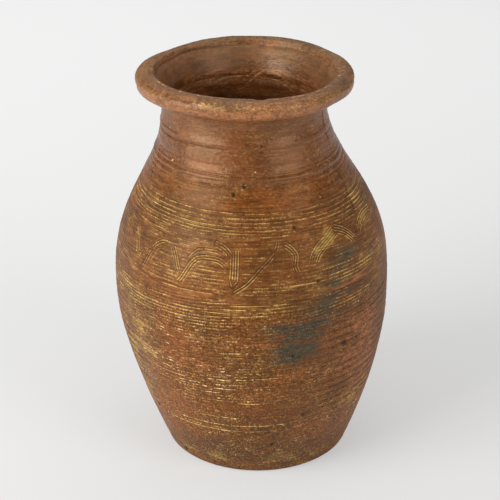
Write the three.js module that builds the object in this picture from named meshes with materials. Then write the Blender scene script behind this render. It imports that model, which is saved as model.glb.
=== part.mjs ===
// An earthenware yoghurt pot: a tall vase-shaped jar with a wide belly, a short neck and a rolled lip.
// The potter raises it in rings of clay on a flat disc, lutes each ring to the one below on a flat edge,
// rolls the lip outwards, and fires the whole to one piece. Each ring is a solid of its own here.
// Sizes are in millimetres. Z points up, and the pot stands on z = 0 with the middle of its foot at the origin.

import * as THREE from "three";

// Heights and radii of the outside
const POT_HEIGHT = 280;
const FOOT_RADIUS = 65.2;
const FOOT_ROUNDING = 2.5;
const BELLY_RADIUS = 96.4;
const BELLY_HEIGHT = 130;
const NECK_RADIUS = 56;
const NECK_BELOW_LIP = 22;

// How far the outline runs on in its own direction at the foot, the belly and the neck before it turns
const FOOT_SWEEP = 76;
const BELLY_SWEEP_DOWN = 21;
const BELLY_SWEEP_UP = 65.5;
const NECK_SWEEP = 46;

// Thicknesses of the clay
const WALL = 7;
const BASE_THICKNESS = 9;
const FLOOR_FILLET = 9;

// The rolled lip, from its undercut to the widest ring, the crest, the inner edge and the crease inside
const RIM_DEPTH = 18;
const UNDERCUT_FLARE = 1;
const LIP_FLARE = 5;
const RIM_WIDTH = 13;
const RIM_DROP = 5;
const RIM_UNDERSIDE_RISE = 6;
const RIM_EDGE_ROUNDING = 4;
const CREST_INSET = 7.5;
const INNER_EDGE_DROP = 2;
const CREASE_DROP = 8;
const CREASE_INSET = 4;
const THROAT_BOW_OUT = 1.75;
const THROAT_BOW_DOWN = 3.5;

// Where the rings of clay meet
const BELLY_RING_BELOW = 56;
const BELLY_RING_ABOVE = 26;
const NECK_RING_HEIGHT = 42;

// The middle of the hand-made pot wanders to the left as it rises: its step to the side, at a share of the height
const WANDERING = [
  [0, 0],
  [-1.5, 0.21],
  [-4.3, 0.43],
  [-4.8, 0.68],
  [-9.1, 0.88],
  [-8.8, 1],
];

// Its lip isn't quite round
const LIP_WOBBLE = 1.2;
const LOBES = 3;
const LOBE_TURN = THREE.MathUtils.degToRad(131);

// Fineness of the facets
const AROUND = 64;
const STEPS_PER_RING = 8;
const STEPS_PER_CURVE = 4;
const HALVING_END = 1e-7;
const SAME_POINT = 1e-4;

const RIM_CLAY = 0x7a5131;
const NECK_CLAY = 0x7d4d33;
const BODY_CLAY = 0x86583a;
const CLAY_ROUGHNESS = 0.62;

const neckHeight = POT_HEIGHT - NECK_BELOW_LIP;
const undercutHeight = POT_HEIGHT - RIM_DEPTH;
const lipRadius = NECK_RADIUS + LIP_FLARE;
const rimRadius = lipRadius + RIM_WIDTH;
const bellyRingFoot = BELLY_HEIGHT - BELLY_RING_BELOW;
const bellyRingTop = BELLY_HEIGHT + BELLY_RING_ABOVE;
const neckRingFoot = undercutHeight - NECK_RING_HEIGHT;

const at = (radius, height) => new THREE.Vector2(radius, height);

// The outside of the wall, from the foot to the undercut below the lip
const wallOutline = [
  new THREE.CubicBezierCurve(
    at(FOOT_RADIUS, 0),
    at(BELLY_RADIUS, FOOT_SWEEP),
    at(BELLY_RADIUS, BELLY_HEIGHT - BELLY_SWEEP_DOWN),
    at(BELLY_RADIUS, BELLY_HEIGHT),
  ),
  new THREE.CubicBezierCurve(
    at(BELLY_RADIUS, BELLY_HEIGHT),
    at(BELLY_RADIUS, BELLY_HEIGHT + BELLY_SWEEP_UP),
    at(NECK_RADIUS, neckHeight - NECK_SWEEP),
    at(NECK_RADIUS, neckHeight),
  ),
  new THREE.QuadraticBezierCurve(
    at(NECK_RADIUS, neckHeight),
    at(NECK_RADIUS, (neckHeight + undercutHeight) / 2),
    at(NECK_RADIUS + UNDERCUT_FLARE, undercutHeight),
  ),
];

// The place on a rising curve at a height, found by halving
function placeAtHeight(curve, height) {
  let low = 0;
  let high = 1;
  while (high - low > HALVING_END) {
    const middle = (low + high) / 2;
    if (curve.getPoint(middle).y < height) {
      low = middle;
    } else {
      high = middle;
    }
  }
  return (low + high) / 2;
}

function curveAtHeight(height) {
  return wallOutline.find((curve) => height <= curve.getPoint(1).y) ?? wallOutline.at(-1);
}

function outerRadius(height) {
  const curve = curveAtHeight(height);
  return curve.getPoint(placeAtHeight(curve, height)).x;
}

// The wall is WALL thick square to its face, so it is wider on the level where the face slopes
function innerRadius(height) {
  const curve = curveAtHeight(height);
  const along = curve.getTangent(placeAtHeight(curve, height));
  return outerRadius(height) - WALL / along.y;
}

// Points of the outside, or of the inside, between two heights, in the order in which they are walked
function wallFace(radiusAt, from, to) {
  return Array.from({ length: STEPS_PER_RING + 1 }, (_, step) => {
    const height = THREE.MathUtils.lerp(from, to, step / STEPS_PER_RING);
    return at(radiusAt(height), height);
  });
}

// A quarter of an ellipse between two points, which leaves the first one level or upright
function quarter(from, to, leavesLevel) {
  return Array.from({ length: STEPS_PER_CURVE + 1 }, (_, step) => {
    const turn = (step / STEPS_PER_CURVE) * (Math.PI / 2);
    const early = Math.sin(turn);
    const late = 1 - Math.cos(turn);
    const across = leavesLevel ? early : late;
    const up = leavesLevel ? late : early;
    return at(THREE.MathUtils.lerp(from.x, to.x, across), THREE.MathUtils.lerp(from.y, to.y, up));
  });
}

const middleLine = new THREE.SplineCurve(WANDERING.map(([side, share]) => at(side, share)));

function middleAtShare(share) {
  return middleLine.getPoint(placeAtHeight(middleLine, share)).x;
}

// The wandering middle and the slight lobes of the upper pot, the same for every ring: each level only slides
// and swells in its own plane, so flat edges stay flat and meeting rings still meet
function shapeByHand(geometry) {
  const position = geometry.getAttribute("position");
  for (let i = 0; i < position.count; i++) {
    const x = position.getX(i);
    const y = position.getY(i);
    const z = position.getZ(i);
    const middle = middleAtShare(z / POT_HEIGHT);
    const grown = THREE.MathUtils.smoothstep(z, BELLY_HEIGHT, POT_HEIGHT);
    const lobes = Math.cos(LOBES * Math.atan2(y, x) + LOBE_TURN);
    const swell = 1 + (LIP_WOBBLE / rimRadius) * grown * lobes;
    position.setXYZ(i, x * swell + middle, y * swell, z);
  }
  return geometry;
}

// Turns a section into a ring of clay, without points that fall on the one before
function turnRing(name, section, colour) {
  const outline = section.filter((point, i) => i === 0 || point.distanceTo(section[i - 1]) > SAME_POINT);
  const geometry = new THREE.LatheGeometry(outline, AROUND);
  geometry.rotateX(Math.PI / 2);
  const material = new THREE.MeshStandardMaterial({
    color: colour,
    roughness: CLAY_ROUGHNESS,
    metalness: 0,
  });
  const ring = new THREE.Mesh(shapeByHand(geometry), material);
  ring.name = name;
  return ring;
}

// The flat disc that the pot stands on, with its lower edge rubbed round
function baseDisc() {
  const rounding = Math.min(FOOT_ROUNDING, BASE_THICKNESS / 2);
  const section = [
    at(0, 0),
    ...quarter(at(FOOT_RADIUS - rounding, 0), at(outerRadius(rounding), rounding), true),
    at(outerRadius(BASE_THICKNESS), BASE_THICKNESS),
    at(0, BASE_THICKNESS),
  ];
  return turnRing("base_disc", section, BODY_CLAY);
}

// The first ring, with the clay smoothed into a fillet where the wall rises from the floor
function lowerWall() {
  const filletTop = BASE_THICKNESS + FLOOR_FILLET;
  const floorEdge = at(innerRadius(BASE_THICKNESS) - FLOOR_FILLET, BASE_THICKNESS);
  const fillet = quarter(floorEdge, at(innerRadius(filletTop), filletTop), true).reverse();
  const section = [
    ...wallFace(outerRadius, BASE_THICKNESS, bellyRingFoot),
    ...wallFace(innerRadius, bellyRingFoot, filletTop),
    ...fillet,
  ];
  return turnRing("lower_wall", [...section, section[0].clone()], BODY_CLAY);
}

function plainRing(name, foot, top, colour) {
  const section = [...wallFace(outerRadius, foot, top), ...wallFace(innerRadius, top, foot)];
  return turnRing(name, [...section, section[0].clone()], colour);
}

// The lip, rolled out and down over a sharp undercut, with a crease inside where it turned over
function rimCoil() {
  const undercut = at(outerRadius(undercutHeight), undercutHeight);
  const neckInside = at(innerRadius(undercutHeight), undercutHeight);
  const widest = at(rimRadius, POT_HEIGHT - RIM_DROP);
  const underside = at(rimRadius - RIM_EDGE_ROUNDING, undercutHeight + RIM_UNDERSIDE_RISE);
  const crest = at(rimRadius - CREST_INSET, POT_HEIGHT);
  const innerEdge = at(lipRadius, POT_HEIGHT - INNER_EDGE_DROP);
  const crease = at(lipRadius - CREASE_INSET, POT_HEIGHT - CREASE_DROP);
  const throatBow = at(neckInside.x + THROAT_BOW_OUT, crease.y - THROAT_BOW_DOWN);
  const throat = new THREE.QuadraticBezierCurve(crease, throatBow, neckInside);
  const section = [
    undercut,
    ...quarter(underside, widest, true),
    ...quarter(widest, crest, false),
    ...quarter(crest, innerEdge, true),
    ...throat.getPoints(STEPS_PER_CURVE),
    undercut.clone(),
  ];
  return turnRing("rim_coil", section, RIM_CLAY);
}

const pot = new THREE.Group();
pot.add(
  baseDisc(),
  lowerWall(),
  plainRing("belly_wall", bellyRingFoot, bellyRingTop, BODY_CLAY),
  plainRing("shoulder_wall", bellyRingTop, neckRingFoot, BODY_CLAY),
  plainRing("neck_wall", neckRingFoot, undercutHeight, NECK_CLAY),
  rimCoil(),
);

export default pot;
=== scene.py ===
import math

import bpy
import numpy as np
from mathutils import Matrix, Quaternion, Vector


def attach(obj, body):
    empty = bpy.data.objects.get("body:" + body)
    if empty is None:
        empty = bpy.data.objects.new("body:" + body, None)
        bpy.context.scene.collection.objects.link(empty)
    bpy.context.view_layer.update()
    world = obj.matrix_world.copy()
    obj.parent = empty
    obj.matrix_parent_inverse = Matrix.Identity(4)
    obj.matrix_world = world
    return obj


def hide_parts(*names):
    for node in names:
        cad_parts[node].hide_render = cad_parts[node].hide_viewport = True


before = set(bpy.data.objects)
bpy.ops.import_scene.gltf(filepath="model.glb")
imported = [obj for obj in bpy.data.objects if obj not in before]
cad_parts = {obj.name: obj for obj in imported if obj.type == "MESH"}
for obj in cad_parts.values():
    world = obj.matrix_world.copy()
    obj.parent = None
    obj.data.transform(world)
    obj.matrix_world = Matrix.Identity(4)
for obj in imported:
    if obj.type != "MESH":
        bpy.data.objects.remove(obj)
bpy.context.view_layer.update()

# The base disc
# A flat disc of red earthenware that the potter pats out first, and that the pot stands on. Its lower edge
# is rubbed round, its underside is dragged off a sanded board, and a finger has spiralled over the floor.

MM = 0.001
POT_HEIGHT = 280.0
FOOT_RADIUS = 65.2
FOOT_ROUNDING = 2.5
BASE_THICKNESS = 9.0
WALL = 7.0
FLOOR_FILLET = 9.0
BELLY_RADIUS = 96.4
BELLY_HEIGHT = 130.0
NECK_RADIUS = 56.0
NECK_HEIGHT = 258.0
UNDERCUT_HEIGHT = 262.0
UNDERCUT_FLARE = 1.0
MOUTH_OPENED_FROM = 238.0
MOUTH_OPENING = 0.0045
RIM_RADIUS = 74.0
LIP_WOBBLE = 1.2
LOBE_TURN = math.radians(131)

COLUMNS = 640
AROUND = np.arange(COLUMNS) * 360.0 / COLUMNS - 180.0


def curve_points(corners, count=400):
    """Points of the Bezier curve with these corners: each corner weighted by its Bernstein polynomial."""
    corners = np.array(corners, float)
    degree = len(corners) - 1
    t = np.linspace(0, 1, count)[:, None]
    weights = [math.comb(degree, k) * t**k * (1 - t) ** (degree - k) for k in range(degree + 1)]
    return sum(weight * corner for weight, corner in zip(weights, corners))


WALL_OUTLINE = np.vstack([
    curve_points([
        (FOOT_RADIUS, 0), (BELLY_RADIUS, 76),
        (BELLY_RADIUS, BELLY_HEIGHT - 21), (BELLY_RADIUS, BELLY_HEIGHT),
    ]),
    curve_points([
        (BELLY_RADIUS, BELLY_HEIGHT), (BELLY_RADIUS, BELLY_HEIGHT + 65.5),
        (NECK_RADIUS, NECK_HEIGHT - 46), (NECK_RADIUS, NECK_HEIGHT),
    ])[1:],
    curve_points([
        (NECK_RADIUS, NECK_HEIGHT), (NECK_RADIUS, (NECK_HEIGHT + UNDERCUT_HEIGHT) / 2),
        (NECK_RADIUS + UNDERCUT_FLARE, UNDERCUT_HEIGHT),
    ])[1:],
])
OUTLINE_SLOPE = np.gradient(WALL_OUTLINE[:, 0], WALL_OUTLINE[:, 1])


def outer_radius(height):
    """Radius of the outside at a height, read off the pot's outline."""
    return np.interp(height, WALL_OUTLINE[:, 1], WALL_OUTLINE[:, 0])


def outer_slope(height):
    """How fast the outside widens with height."""
    return np.interp(height, WALL_OUTLINE[:, 1], OUTLINE_SLOPE)


def inner_radius(height):
    """Radius of the inside: a wall's thickness in from the outside, square to its face. Towards the lip the
    wall thins, by a parabola, where the potter opened the mouth."""
    opened = np.maximum(height - MOUTH_OPENED_FROM, 0) ** 2 * MOUTH_OPENING
    return outer_radius(height) - WALL * np.sqrt(1 + outer_slope(height) ** 2) + opened


def soft_step(value, low, high):
    """0 below low, 1 above high, and a smooth S between."""
    t = np.clip((value - low) / (high - low), 0, 1)
    return t * t * (3 - 2 * t)


def smooth_route(places, steps=12):
    """A Catmull-Rom curve through the places, with its first and last place counted twice."""
    p = np.array(places, float)
    p = np.vstack([p[:1], p, p[-1:]])
    t = np.linspace(0, 1, steps, endpoint=False)[:, None]
    legs = [
        0.5 * (2 * b + (c - a) * t + (2 * a - 5 * b + 4 * c - d) * t**2 + (3 * b - a - 3 * c + d) * t**3)
        for a, b, c, d in zip(p[:-3], p[1:-2], p[2:-1], p[3:])
    ]
    return np.vstack([*legs, p[-1:]])


# The middle of the hand-made pot wanders to the left as it rises: steps to the side, at shares of the height
MIDDLE_LINE = smooth_route([(0, 0), (-1.5, 0.21), (-4.3, 0.43), (-4.8, 0.68), (-9.1, 0.88), (-8.8, 1)], 60)


def shaped_by_hand(radius, height, angle=AROUND):
    """Places a grid of radii and heights: angle 0 faces the front, the pot wanders left, its lip has three
    lobes."""
    turn = np.radians(angle - 90.0)
    middle = np.interp(height / POT_HEIGHT, MIDDLE_LINE[:, 1], MIDDLE_LINE[:, 0])
    lobes = np.cos(3 * turn + LOBE_TURN)
    swell = 1 + LIP_WOBBLE / RIM_RADIUS * soft_step(height, BELLY_HEIGHT, POT_HEIGHT) * lobes
    x = radius * np.cos(turn) * swell + middle
    y = radius * np.sin(turn) * swell
    return np.stack([x, y, height + 0 * x], axis=-1) * MM


def clay_noise(seed, around, cell, angle, height):
    """Smooth random relief from -1 to 1: random values on a lattice of so many cells around the pot and so
    many millimetres high, blended by smooth steps. It closes on itself at the back."""
    rows = int(POT_HEIGHT / cell) + 4
    lattice = np.random.default_rng(seed).uniform(-1, 1, (rows, around))
    u = np.broadcast_to(angle / 360.0 * around, np.broadcast(angle, height).shape) % around
    v = np.clip(np.broadcast_to(height / cell + 1, u.shape), 0, rows - 2.001)
    j, i = np.floor(u).astype(int), np.floor(v).astype(int)
    s, t = soft_step(u - j, 0, 1), soft_step(v - i, 0, 1)
    j, k = j % around, (j + 1) % around
    low = lattice[i, j] * (1 - s) + lattice[i, k] * s
    high = lattice[i + 1, j] * (1 - s) + lattice[i + 1, k] * s
    return low * (1 - t) + high * t


def clay_noise_over(angle, height):
    """The same relief, always read at these places."""
    return lambda seed, around, cell: clay_noise(seed, around, cell, angle, height)


def bell(value, half):
    """A bell curve: 1 where the value is 0, and a third of that at this half width."""
    return np.exp(-((value / half) ** 2))


def turned_from(angle, middle):
    """Degrees from a place on the wall, by the shorter way round the pot."""
    return (angle - middle + 180) % 360 - 180


def blob(angle, height, middle, level, wide, tall):
    """A soft round spot on the wall: a bell curve in degrees around and millimetres up."""
    return np.exp(-((turned_from(angle, middle) / wide) ** 2) - ((height - level) / tall) ** 2)


def turned_mesh(name, grid, masks, creases=(), closed=True):
    """A closed skin over a grid of points, row by row around the pot. A closed one joins its last row to its
    first; an open one gets a pole in the middle of each end. Creases are rows with a hard edge."""
    rows, columns = grid.shape[:2]
    points = grid.reshape(-1, 3)
    j = np.arange(columns)
    i = np.arange(rows if closed else rows - 1)[:, None]
    up, right = (i + 1) % rows, (j + 1) % columns
    quads = np.stack([i * columns + j, i * columns + right, up * columns + right, up * columns + j], -1)
    faces = quads.reshape(-1, 4).tolist()
    if not closed:
        poles = np.stack([grid[0].mean(0), grid[-1].mean(0)])
        low, high = len(points), len(points) + 1
        points = np.vstack([points, poles])
        last = (rows - 1) * columns
        faces += np.stack([np.full(columns, low), right, j], -1).tolist()
        faces += np.stack([np.full(columns, high), last + j, last + right], -1).tolist()
        masks = {key: np.append(mask, [mask[0].mean(), mask[-1].mean()]) for key, mask in masks.items()}
    mesh = bpy.data.meshes.new(name)
    mesh.from_pydata(points.tolist(), [], faces)
    mesh.polygons.foreach_set("use_smooth", np.ones(len(mesh.polygons), bool))
    edges = np.empty(len(mesh.edges) * 2, np.int32)
    mesh.edges.foreach_get("vertices", edges)
    row_of = edges.reshape(-1, 2) // columns
    hard = np.isin(row_of[:, 0], list(creases)) & (row_of[:, 0] == row_of[:, 1])
    mesh.attributes.new("sharp_edge", "BOOLEAN", "EDGE").data.foreach_set("value", hard)
    for key, mask in masks.items():
        values = np.ascontiguousarray(mask, np.float32).ravel()
        mesh.attributes.new(key, "FLOAT", "POINT").data.foreach_set("value", values)
    piece = bpy.data.objects.new(name, mesh)
    bpy.context.scene.collection.objects.link(piece)
    return piece


def fired_on(piece, node, material):
    """The piece stands for its ring of clay, rides with the pot and takes its finish."""
    piece.data.materials.append(material)
    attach(piece, "root")
    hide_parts(node)


def node_group(name, inputs, outputs):
    """A node group. Its inputs have their first values, its outputs are Color or Float."""
    group = bpy.data.node_groups.new(name, "ShaderNodeTree")
    for key, value in inputs.items():
        kind = "NodeSocketFloat" if isinstance(value, float) else "NodeSocketColor"
        group.interface.new_socket(key, in_out="INPUT", socket_type=kind).default_value = value
    for key, kind in outputs.items():
        group.interface.new_socket(key, in_out="OUTPUT", socket_type=f"NodeSocket{kind}")
    return group


class Nodes:
    """Short words for the nodes of one tree."""

    def __init__(self, tree):
        self.tree = tree

    def new(self, kind, inputs=(), **settings):
        node = self.tree.nodes.new(kind)
        for key, value in settings.items():
            setattr(node, key, value)
        for key, value in dict(inputs).items():
            self.put(node.inputs[key], value)
        return node

    def put(self, place, value):
        if hasattr(value, "is_output"):
            self.tree.links.new(value, place)
        else:
            place.default_value = value

    def maths(self, operation, *values, clamp=False):
        node = self.new("ShaderNodeMath", operation=operation, use_clamp=clamp)
        for place, value in zip(node.inputs, values):
            self.put(place, value)
        return node.outputs[0]

    def add(self, first, second, clamp=False):
        return self.maths("ADD", first, second, clamp=clamp)

    def times(self, first, second, clamp=False):
        return self.maths("MULTIPLY", first, second, clamp=clamp)

    def mask(self, name):
        return self.new("ShaderNodeAttribute", attribute_name=name).outputs["Fac"]

    def mix(self, factor, first, second, blend="MIX"):
        node = self.new("ShaderNodeMix", data_type="RGBA", blend_type=blend, clamp_factor=True)
        self.put(node.inputs["Factor"], factor)
        self.put(node.inputs[6], first)
        self.put(node.inputs[7], second)
        return node.outputs[2]

    def spread(self, value, low, high, to_low=0.0, to_high=1.0):
        node = self.new("ShaderNodeMapRange", interpolation_type="SMOOTHSTEP")
        for key, number in zip((0, 1, 2, 3, 4), (value, low, high, to_low, to_high)):
            self.put(node.inputs[key], number)
        return node.outputs[0]

    def noise(self, place, scale, detail=3.0, rough=0.55):
        inputs = {"Vector": place, "Scale": scale, "Detail": detail, "Roughness": rough}
        return self.new("ShaderNodeTexNoise", inputs).outputs["Fac"]


GRIT_COLOUR = (0.42, 0.27, 0.12, 1)
OCHRE_COLOUR = (0.34, 0.193, 0.04, 1)
BLUSH_COLOUR = (0.34, 0.115, 0.04, 1)
CLOUD_COLOUR = (0.041, 0.041, 0.027, 1)
GROOVE_SHADE = (0.42, 0.36, 0.28, 1)
CRUMB_COLOUR = (0.46, 0.27, 0.05, 1)
CREAM_COLOUR = (0.66, 0.46, 0.24, 1)
# Colour of the dark mask: soot and dirt, and painted shade
DIRT_AND_SHADE_COLOUR = (0.024, 0.01, 0.0025, 1)


def clay_group():
    """The fired clay's own look: red and brown firing patches, mottling, long streaks where it was wiped wet,
    short flecks where it was left, grit, and a grain for the bump. Streaks and flecks come from spaces that
    are squeezed upwards."""
    inputs = {"Red clay": (0.25, 0.09, 0.03, 1), "Brown clay": (0.15, 0.065, 0.02, 1)}
    inputs.update({"Streaks": 0.5, "Speckle": 0.5, "Grit": 0.5})
    outputs = {"Color": "Color", "Tone": "Color", "Grain": "Float", "Streak": "Float", "Sand": "Float"}
    group = node_group("fired_clay", inputs, outputs)
    n = Nodes(group)
    given = n.new("NodeGroupInput").outputs
    place = n.new("ShaderNodeTexCoord").outputs["Object"]
    squeezed, flattened, settled = (
        n.new("ShaderNodeMapping", {"Vector": place, "Scale": (1, 1, lower)}).outputs[0]
        for lower in (6, 14, 1.9)
    )
    patches = n.spread(n.noise(place, 24.0, 5.0, 0.65), 0.38, 0.62)
    mottle = n.noise(place, 110.0, 5.0, 0.7)
    streak = n.noise(squeezed, 80.0, 4.0, 0.65)
    wiped = n.noise(flattened, 75.0, 3.0, 0.7)
    flecks = n.noise(settled, 380.0, 4.0, 0.75)
    fine = n.noise(place, 900.0, 2.0, 0.7)
    grit = n.spread(n.noise(place, 700.0, 2.0, 0.7), 0.64, 0.7)
    colour = n.mix(patches, given["Brown clay"], given["Red clay"])
    freckled = n.add(n.spread(flecks, 0.3, 0.7, -0.52, 0.52), n.spread(fine, 0.3, 0.7, -0.42, 0.42))
    speckled = n.times(freckled, given["Speckle"])
    light = n.add(n.spread(mottle, 0.3, 0.7, -0.2, 0.2), speckled)
    both = n.add(n.spread(streak, 0.3, 0.7, -0.2, 0.2), n.spread(wiped, 0.3, 0.7, -0.42, 0.42))
    swept = n.times(both, given["Streaks"])
    level = n.maths("MAXIMUM", n.add(n.add(light, swept), 1.02), 0.5)
    greener, bluer = n.maths("POWER", level, 1.08), n.maths("POWER", level, 1.2)
    tone = n.new("ShaderNodeCombineColor", {"Red": level, "Green": greener, "Blue": bluer}).outputs[0]
    pale = n.times(grit, given["Grit"], clamp=True)
    colour = n.mix(pale, colour, GRIT_COLOUR)
    grain = n.add(n.times(flecks, 0.7), n.times(mottle, 0.3))
    streak = n.add(n.times(streak, 0.5), n.times(wiped, 0.5))
    out = n.new("NodeGroupOutput")
    results = {"Color": colour, "Tone": tone, "Grain": grain, "Streak": streak, "Sand": fine}
    for key, value in results.items():
        n.put(out.inputs[key], value)
    return group


def comb_group():
    """A comb's grooves. Tooth counts the teeth across a stroke, so a groove runs along every whole number.
    Core is the cosine of one turn per tooth, cut off above its middle; Edge is the same a third of a tooth
    higher, where the groove's upper edge lies in its own shade."""
    group = node_group("comb_grooves", {"Tooth": 0.0}, {"Core": "Float", "Edge": "Float"})
    n = Nodes(group)
    turn = n.times(n.new("NodeGroupInput").outputs["Tooth"], 2 * math.pi)
    core = n.maths("COSINE", n.add(turn, 0.35))
    edge = n.maths("COSINE", n.maths("SUBTRACT", turn, 1.9))
    out = n.new("NodeGroupOutput")
    n.put(out.inputs["Core"], n.spread(core, 0.25, 0.95))
    n.put(out.inputs["Edge"], n.spread(edge, 0.25, 0.9))
    return group


CLAY = clay_group()
COMB = comb_group()


def clay_material(name, red, brown, dust, streaks, speckle, grit, rough, shine, tint, grain):
    """Fired clay with what lies on it: pale dust in the grooves (fill) and between them (crumbs), ochre and
    orange blushes, the grey cloud that the fire left, soot and painted shade in pits, cracks, valleys,
    creases and deep inside the pot (dark), painted shade along the grooves, and worn, shinier places
    (polish). Some ochre, blush, cream and fill spots are painted sheen and highlights. Each mask meets the
    clay's grain at a threshold, so that dust and cloud end in crumbs and not in a blur. Where the wall was
    swept smooth it has long streaks and few flecks."""
    material = bpy.data.materials.new(name)
    material.use_nodes = True
    tree = material.node_tree
    n = Nodes(tree)
    shader = tree.nodes["Principled BSDF"]
    swept = n.mask("swept")
    streaks = n.times(swept, streaks)
    speckle = n.times(n.spread(swept, 0.0, 1.0, 1.6, 0.3), speckle)
    inputs = {"Red clay": red, "Brown clay": brown, "Streaks": streaks, "Speckle": speckle, "Grit": grit}
    clay = n.new("ShaderNodeGroup", node_tree=CLAY)
    for key, value in inputs.items():
        n.put(clay.inputs[key], value)
    comb = n.new("ShaderNodeGroup", node_tree=COMB)
    n.put(comb.inputs["Tooth"], n.mask("tooth"))
    grain_off = n.times(n.maths("SUBTRACT", clay.outputs["Grain"], 0.5), 3.0)
    streak_off = n.times(n.maths("SUBTRACT", clay.outputs["Streak"], 0.5), 2.5)
    both_off = n.add(grain_off, streak_off)
    sand_off = n.times(n.maths("SUBTRACT", clay.outputs["Sand"], 0.5), 1.2)
    sprinkled = n.times(sand_off, 2.0)
    dust_off = n.add(n.times(grain_off, 0.3), n.times(streak_off, 0.3))
    dust_off = n.add(dust_off, sand_off)

    def crumbled(mask, unevenness, low, high):
        return n.spread(n.add(mask, unevenness), low, high)

    def in_core(mask):
        return n.times(n.mask(mask), comb.outputs["Core"])

    colour = n.mix(crumbled(n.mask("ochre"), both_off, 0.1, 1.0), clay.outputs["Color"], OCHRE_COLOUR)
    colour = n.mix(crumbled(n.mask("blush"), both_off, 0.2, 1.1), colour, BLUSH_COLOUR)
    cloud = n.times(crumbled(n.mask("cloud"), both_off, 0.0, 1.1), 0.95)
    colour = n.mix(cloud, colour, CLOUD_COLOUR)
    # Painted shade in the grooves: their upper edge and their bottom are darkened towards GROOVE_SHADE
    lining = n.maths("MAXIMUM", comb.outputs["Edge"], n.times(comb.outputs["Core"], 0.6))
    shaded = n.times(n.mask("groove"), lining)
    colour = n.mix(shaded, colour, n.mix(1.0, colour, GROOVE_SHADE, "MULTIPLY"))
    settled = crumbled(n.add(in_core("fill"), n.mask("crumbs")), dust_off, 0.34, 0.9)
    strewn = n.add(n.mask("crumbs"), n.times(streak_off, 0.2))
    specks = crumbled(strewn, sprinkled, 0.52, 0.78)
    dust_held = n.times(n.maths("MAXIMUM", settled, specks), 0.9)
    sprinkling = n.mix(n.spread(swept, 0.0, 0.25), CRUMB_COLOUR, dust)
    colour = n.mix(n.times(specks, 0.9), colour, sprinkling)
    colour = n.mix(n.times(settled, 0.9), colour, dust)
    pale = n.add(in_core("cream"), n.mask("chip"))
    colour = n.mix(crumbled(pale, grain_off, 0.45, 0.8), colour, CREAM_COLOUR)
    colour = n.mix(1.0, colour, clay.outputs["Tone"], "MULTIPLY")
    # Soot, and painted shade in pits, cracks, valleys, creases and deep inside the pot
    colour = n.mix(n.mask("dark"), colour, DIRT_AND_SHADE_COLOUR)
    n.put(shader.inputs["Base Color"], colour)
    polish = n.times(n.mask("polish"), -0.25)
    dull = n.add(n.times(grain_off, 0.2), n.add(polish, rough))
    n.put(shader.inputs["Roughness"], n.add(dull, n.times(dust_held, 0.15), clamp=True))
    shader.inputs["Specular IOR Level"].default_value = shine
    shader.inputs["Specular Tint"].default_value = tint
    cut = n.times(n.times(n.mask("groove"), comb.outputs["Core"]), -0.7)
    height = n.add(n.times(clay.outputs["Grain"], 1.2), clay.outputs["Streak"])
    height = n.add(height, cut)
    bump = n.new("ShaderNodeBump", {"Strength": grain, "Distance": 0.0007, "Height": height})
    n.put(shader.inputs["Normal"], bump.outputs[0])
    return material


BODY_CLAY = clay_material(
    "body_earthenware",
    red=(0.178, 0.0525, 0.0092, 1), brown=(0.128, 0.0445, 0.0082, 1), dust=(0.47, 0.295, 0.088, 1),
    streaks=1.0, speckle=0.8, grit=0.5, rough=0.46, shine=0.38, tint=(1.0, 0.66, 0.4, 1), grain=0.5,
)

MASKS = (
    "tooth", "groove", "fill", "cream", "crumbs", "chip",
    "ochre", "blush", "cloud", "dark", "polish", "swept",
)


def masks_for(shape, **given):
    """All that the clay reads at each point, zero where nothing is given, and half swept. The count of teeth
    isn't a mask and keeps its value; the others lie from 0 to 1."""
    made = {key: np.zeros(shape) for key in MASKS}
    made["swept"] = made["swept"] + 0.5
    for key, value in given.items():
        made[key] = np.broadcast_to(value if key == "tooth" else np.clip(value, 0, 1), shape)
    return made


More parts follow.
